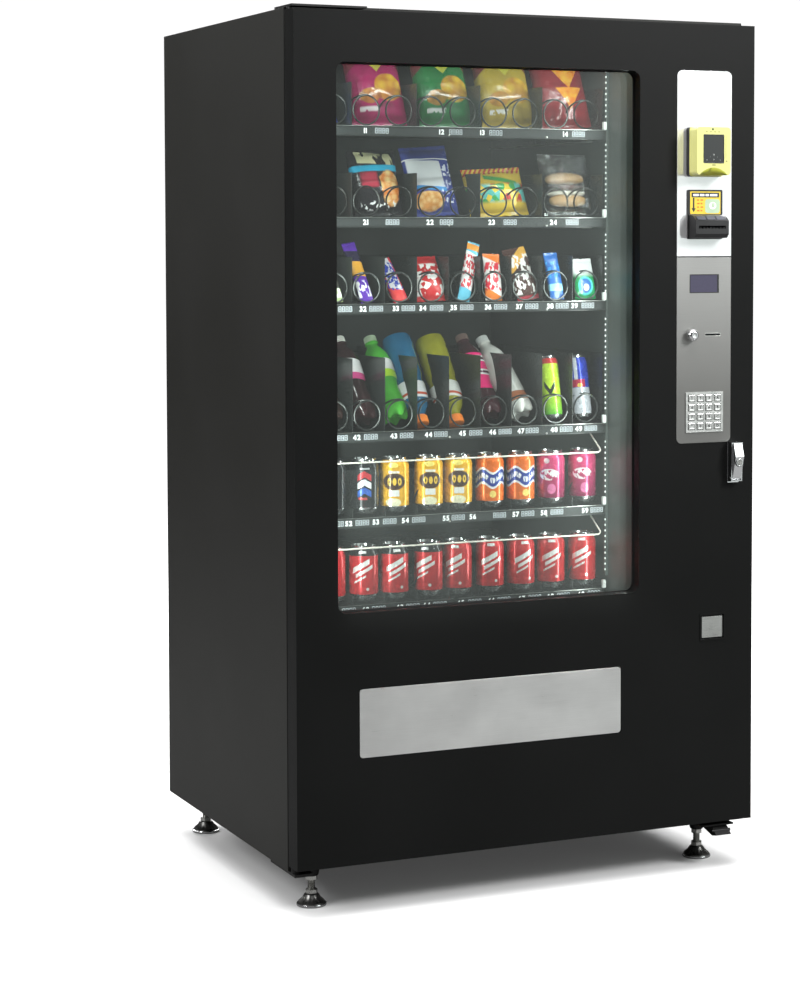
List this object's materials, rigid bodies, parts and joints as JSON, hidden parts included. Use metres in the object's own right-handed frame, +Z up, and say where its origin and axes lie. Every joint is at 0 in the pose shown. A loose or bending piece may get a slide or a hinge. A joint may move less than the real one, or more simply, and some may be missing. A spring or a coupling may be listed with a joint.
{
  "type": "snack vending machine",
  "caption": "Glass-front vending machine with a hinged door, spiral trays, control panel and delivery flap.",
  "frame": {"origin": "centre of the footprint, on the ground under the levelling feet", "axes": "+Z up, front towards -Y, +X to the right seen from the front"},
  "size_m": [1.126, 0.928, 1.953],
  "materials": {
    "cabinet_paint": "textured black powder coat",
    "door_paint": "textured black powder coat",
    "liner": "smooth grey liner",
    "runner_steel": "galvanised",
    "led_strip": "milky diffuser",
    "black_steel": "satin black",
    "foot_steel": "zinc plated",
    "cooling_black": "satin black",
    "box_steel": "galvanised",
    "glass": "clear double glazing",
    "gasket": "black rubber",
    "fascia_white": "glossy white",
    "fascia_steel": "brushed stainless",
    "display": "dark blue screen",
    "keypad_metal": "satin metal",
    "key_metal": "satin metal",
    "reader_yellow": "yellow moulding",
    "validator_black": "black moulding",
    "coin_mech_grey": "dark grey moulding",
    "chrome": "polished chrome",
    "lock_plug_steel": "satin steel",
    "bin_black": "satin black",
    "flap_steel": "brushed stainless",
    "tray_steel": "dark grey powder coat",
    "spiral_steel": "drawn wire",
    "spiral_dark": "black coated wire",
    "bar_wire": "bright wire"
  },
  "bodies": {
    "cabinet": {"cabinet_shell": "cabinet_paint", "inner_liner": "liner", "tray_runners": "runner_steel", "led_strips": "led_strip", "top_hinge_plate": "black_steel", "bottom_hinge_bracket": "black_steel", "door_ramp": "black_steel", "foot_sockets": "black_steel", "leveling_feet": "foot_steel", "cooling_unit": "cooling_black", "control_box": "box_steel"},
    "door": {"door_shell": "door_paint", "window_glass": "glass", "window_gasket": "gasket", "upper_fascia": "fascia_white", "lower_fascia": "fascia_steel", "display": "display", "keypad_plate": "keypad_metal", "card_reader": "reader_yellow", "bill_validator": "validator_black", "coin_mech": "coin_mech_grey", "coin_cup": "fascia_steel", "lock_housing": "chrome", "delivery_bin": "bin_black"},
    "flap": {"delivery_flap": "flap_steel"},
    "coin_flap": {"coin_flap": "flap_steel"},
    "return_knob": {"coin_return_knob": "chrome"},
    "lock_handle": {"lock_handle": "chrome"},
    "lock_plug": {"lock_plug": "lock_plug_steel"},
    "can_bar_5": {"can_bar_5": "bar_wire"},
    "can_bar_6": {"can_bar_6": "bar_wire"},
    "spiral_30": {"spiral_30": "spiral_steel"},
    "tray_1": {"tray_1": "tray_steel", "spirals_1": "spiral_dark"},
    "tray_2": {"tray_2": "tray_steel", "spirals_2": "spiral_dark"},
    "tray_3": {"tray_3": "tray_steel", "spirals_3": "spiral_steel"},
    "tray_4": {"tray_4": "tray_steel", "spirals_4": "spiral_steel"},
    "tray_5": {"tray_5": "tray_steel", "spirals_5": "spiral_dark"},
    "tray_6": {"tray_6": "tray_steel", "spirals_6": "spiral_dark"},
    "key_1": {"key_1": "key_metal"},
    "key_2": {"key_2": "key_metal"},
    "key_3": {"key_3": "key_metal"},
    "key_a": {"key_a": "key_metal"},
    "key_4": {"key_4": "key_metal"},
    "key_5": {"key_5": "key_metal"},
    "key_6": {"key_6": "key_metal"},
    "key_b": {"key_b": "key_metal"},
    "key_7": {"key_7": "key_metal"},
    "key_8": {"key_8": "key_metal"},
    "key_9": {"key_9": "key_metal"},
    "key_c": {"key_c": "key_metal"},
    "key_star": {"key_star": "key_metal"},
    "key_0": {"key_0": "key_metal"},
    "key_hash": {"key_hash": "key_metal"},
    "key_d": {"key_d": "key_metal"}
  },
  "joints": [
    {"name": "door_hinge", "type": "hinge", "parent": "cabinet", "child": "door", "pos_m": [-0.553, -0.374, 0.109], "axis": [0, 0, -1], "range_deg": [0, 105]},
    {"name": "flap_hinge", "type": "hinge", "parent": "door", "child": "flap", "pos_m": [-0.0997, -0.407, 0.483], "axis": [1, 0, 0], "range_deg": [0, 60], "stiffness_Nm_per_rad": 1, "springref_deg": -11.46},
    {"name": "coin_flap_hinge", "type": "hinge", "parent": "door", "child": "coin_flap", "pos_m": [0.458, -0.41, 0.5865], "axis": [1, 0, 0], "range_deg": [0, 40], "stiffness_Nm_per_rad": 0.01, "springref_deg": -11.46},
    {"name": "coin_return_push", "type": "slide", "parent": "door", "child": "return_knob", "axis": [0, 1, 0], "range_m": [0, 0.006], "stiffness_N_per_m": 300, "springref_m": -0.002},
    {"name": "lock_handle_swing", "type": "hinge", "parent": "door", "child": "lock_handle", "pos_m": [0.5085, -0.431, 0.908], "axis": [1, 0, 0], "range_deg": [0, 60]},
    {"name": "lock_key_turn", "type": "hinge", "parent": "lock_handle", "child": "lock_plug", "pos_m": [0.5085, -0.449, 0.943], "axis": [0, 1, 0], "range_deg": [0, 90]},
    {"name": "tray_1_slide", "type": "slide", "parent": "cabinet", "child": "tray_1", "axis": [0, -1, 0], "range_m": [0, 0.1]},
    {"name": "tray_2_slide", "type": "slide", "parent": "cabinet", "child": "tray_2", "axis": [0, -1, 0], "range_m": [0, 0.1]},
    {"name": "tray_3_slide", "type": "slide", "parent": "cabinet", "child": "tray_3", "axis": [0, -1, 0], "range_m": [0, 0.1]},
    {"name": "tray_4_slide", "type": "slide", "parent": "cabinet", "child": "tray_4", "axis": [0, -1, 0], "range_m": [0, 0.1]},
    {"name": "tray_5_slide", "type": "slide", "parent": "cabinet", "child": "tray_5", "axis": [0, -1, 0], "range_m": [0, 0.1]},
    {"name": "tray_6_slide", "type": "slide", "parent": "cabinet", "child": "tray_6", "axis": [0, -1, 0], "range_m": [0, 0.1]},
    {"name": "can_bar_5_swing", "type": "hinge", "parent": "tray_4", "child": "can_bar_5", "pos_m": [-0.118, -0.161, 1.0175], "axis": [-1, 0, 0], "range_deg": [0, 16]},
    {"name": "can_bar_6_swing", "type": "hinge", "parent": "tray_5", "child": "can_bar_6", "pos_m": [-0.118, -0.161, 0.8265], "axis": [-1, 0, 0], "range_deg": [0, 16]},
    {"name": "spiral_30_turn", "type": "hinge", "parent": "tray_3", "child": "spiral_30", "pos_m": [-0.4695, 0.054, 1.347], "axis": [0, 1, 0], "continuous": true},
    {"name": "key_1_press", "type": "slide", "parent": "door", "child": "key_1", "axis": [0, 1, 0], "range_m": [0, 0.0012], "stiffness_N_per_m": 800, "springref_m": -0.0005},
    {"name": "key_2_press", "type": "slide", "parent": "door", "child": "key_2", "axis": [0, 1, 0], "range_m": [0, 0.0012], "stiffness_N_per_m": 800, "springref_m": -0.0005},
    {"name": "key_3_press", "type": "slide", "parent": "door", "child": "key_3", "axis": [0, 1, 0], "range_m": [0, 0.0012], "stiffness_N_per_m": 800, "springref_m": -0.0005},
    {"name": "key_a_press", "type": "slide", "parent": "door", "child": "key_a", "axis": [0, 1, 0], "range_m": [0, 0.0012], "stiffness_N_per_m": 800, "springref_m": -0.0005},
    {"name": "key_4_press", "type": "slide", "parent": "door", "child": "key_4", "axis": [0, 1, 0], "range_m": [0, 0.0012], "stiffness_N_per_m": 800, "springref_m": -0.0005},
    {"name": "key_5_press", "type": "slide", "parent": "door", "child": "key_5", "axis": [0, 1, 0], "range_m": [0, 0.0012], "stiffness_N_per_m": 800, "springref_m": -0.0005},
    {"name": "key_6_press", "type": "slide", "parent": "door", "child": "key_6", "axis": [0, 1, 0], "range_m": [0, 0.0012], "stiffness_N_per_m": 800, "springref_m": -0.0005},
    {"name": "key_b_press", "type": "slide", "parent": "door", "child": "key_b", "axis": [0, 1, 0], "range_m": [0, 0.0012], "stiffness_N_per_m": 800, "springref_m": -0.0005},
    {"name": "key_7_press", "type": "slide", "parent": "door", "child": "key_7", "axis": [0, 1, 0], "range_m": [0, 0.0012], "stiffness_N_per_m": 800, "springref_m": -0.0005},
    {"name": "key_8_press", "type": "slide", "parent": "door", "child": "key_8", "axis": [0, 1, 0], "range_m": [0, 0.0012], "stiffness_N_per_m": 800, "springref_m": -0.0005},
    {"name": "key_9_press", "type": "slide", "parent": "door", "child": "key_9", "axis": [0, 1, 0], "range_m": [0, 0.0012], "stiffness_N_per_m": 800, "springref_m": -0.0005},
    {"name": "key_c_press", "type": "slide", "parent": "door", "child": "key_c", "axis": [0, 1, 0], "range_m": [0, 0.0012], "stiffness_N_per_m": 800, "springref_m": -0.0005},
    {"name": "key_star_press", "type": "slide", "parent": "door", "child": "key_star", "axis": [0, 1, 0], "range_m": [0, 0.0012], "stiffness_N_per_m": 800, "springref_m": -0.0005},
    {"name": "key_0_press", "type": "slide", "parent": "door", "child": "key_0", "axis": [0, 1, 0], "range_m": [0, 0.0012], "stiffness_N_per_m": 800, "springref_m": -0.0005},
    {"name": "key_hash_press", "type": "slide", "parent": "door", "child": "key_hash", "axis": [0, 1, 0], "range_m": [0, 0.0012], "stiffness_N_per_m": 800, "springref_m": -0.0005},
    {"name": "key_d_press", "type": "slide", "parent": "door", "child": "key_d", "axis": [0, 1, 0], "range_m": [0, 0.0012], "stiffness_N_per_m": 800, "springref_m": -0.0005}
  ]
}
